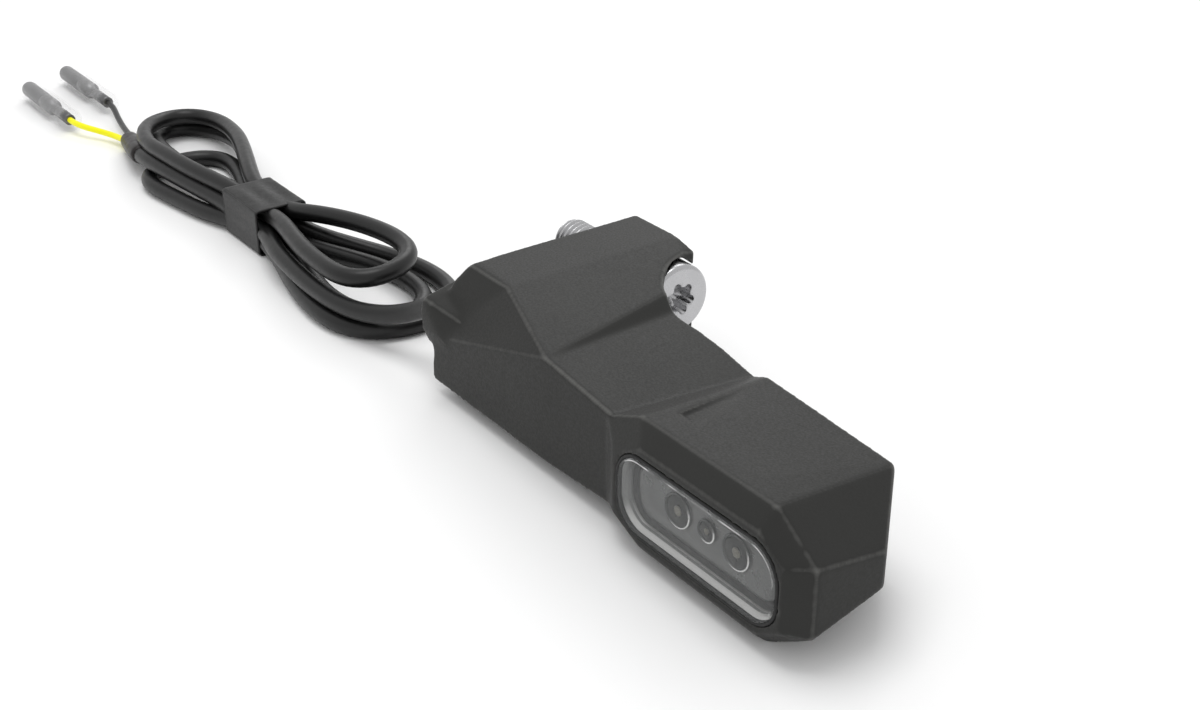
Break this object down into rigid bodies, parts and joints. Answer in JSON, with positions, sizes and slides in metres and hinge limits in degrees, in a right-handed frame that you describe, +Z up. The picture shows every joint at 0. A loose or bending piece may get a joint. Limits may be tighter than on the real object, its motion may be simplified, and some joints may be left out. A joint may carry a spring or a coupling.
{
  "type": "motorcycle turn signal indicator",
  "caption": "Faceted metal turn signal with a lens pod, a bolt-on mounting head, and a two-core lead tied in a hank that ends in bullet terminals.",
  "frame": {"origin": "centre of the underside of the box around the indicator without its lead", "axes": "+X runs from the mounting head to the lamp pod, -Y is where the lens faces, +Z is up as it lies on a table"},
  "size_m": [0.3128, 0.0525, 0.0246],
  "materials": {
    "housing_metal": "satin charcoal powder coat on a die casting",
    "lens_clear": "clear moulded",
    "seal_black": "matt black",
    "reflector_silver": "metallised plastic, slightly grey",
    "bezel_bright": "bright ring",
    "lamp_clear": "clear epoxy dome",
    "board_green": "solder mask",
    "component_black": "moulded package",
    "resin_dark": "cured potting resin",
    "core_yellow": "smooth insulation",
    "core_black": "smooth insulation",
    "sheath_black": "satin extruded sheath",
    "band_black": "flat tape band",
    "shrink_black": "shrink tubing",
    "screw_steel": "bright plated",
    "terminal_tin": "tinned",
    "sleeve_clear": "clear soft insulating sleeve"
  },
  "bodies": {
    "indicator": {"housing": "housing_metal", "lens": "lens_clear", "lens_seal": "seal_black", "reflector": "reflector_silver", "bezel_left": "bezel_bright", "bezel_right": "bezel_bright", "bezel_center": "bezel_bright", "led_left": "lamp_clear", "led_right": "lamp_clear", "led_center": "lamp_clear", "led_board": "board_green", "driver_chip": "component_black", "resistor_left": "component_black", "resistor_right": "component_black", "potting": "resin_dark", "core_inner_yellow": "core_yellow", "core_inner_black": "core_black", "sheath_inner": "sheath_black", "grommet": "seal_black", "sheath_lead": "sheath_black", "hank": "sheath_black", "tie_band": "band_black", "sheath_tail": "sheath_black", "heat_shrink": "shrink_black", "wire_yellow": "core_yellow", "wire_black": "core_black", "terminal_yellow": "terminal_tin", "terminal_black": "terminal_tin"},
    "screw": {"mount_screw": "screw_steel"},
    "sleeve_y": {"sleeve_yellow": "sleeve_clear"},
    "sleeve_b": {"sleeve_black": "sleeve_clear"}
  },
  "joints": [
    {"name": "screw_turn", "type": "hinge", "parent": "indicator", "child": "screw", "pos_m": [-0.03653, 0.0176, 0.0164], "axis": [-1, 0, 0], "continuous": true},
    {"name": "sleeve_yellow_slide", "type": "slide", "parent": "indicator", "child": "sleeve_y", "axis": [1, 0, 0], "range_m": [0, 0.0055]},
    {"name": "sleeve_black_slide", "type": "slide", "parent": "indicator", "child": "sleeve_b", "axis": [1, 0, 0], "range_m": [0, 0.0055]}
  ]
}
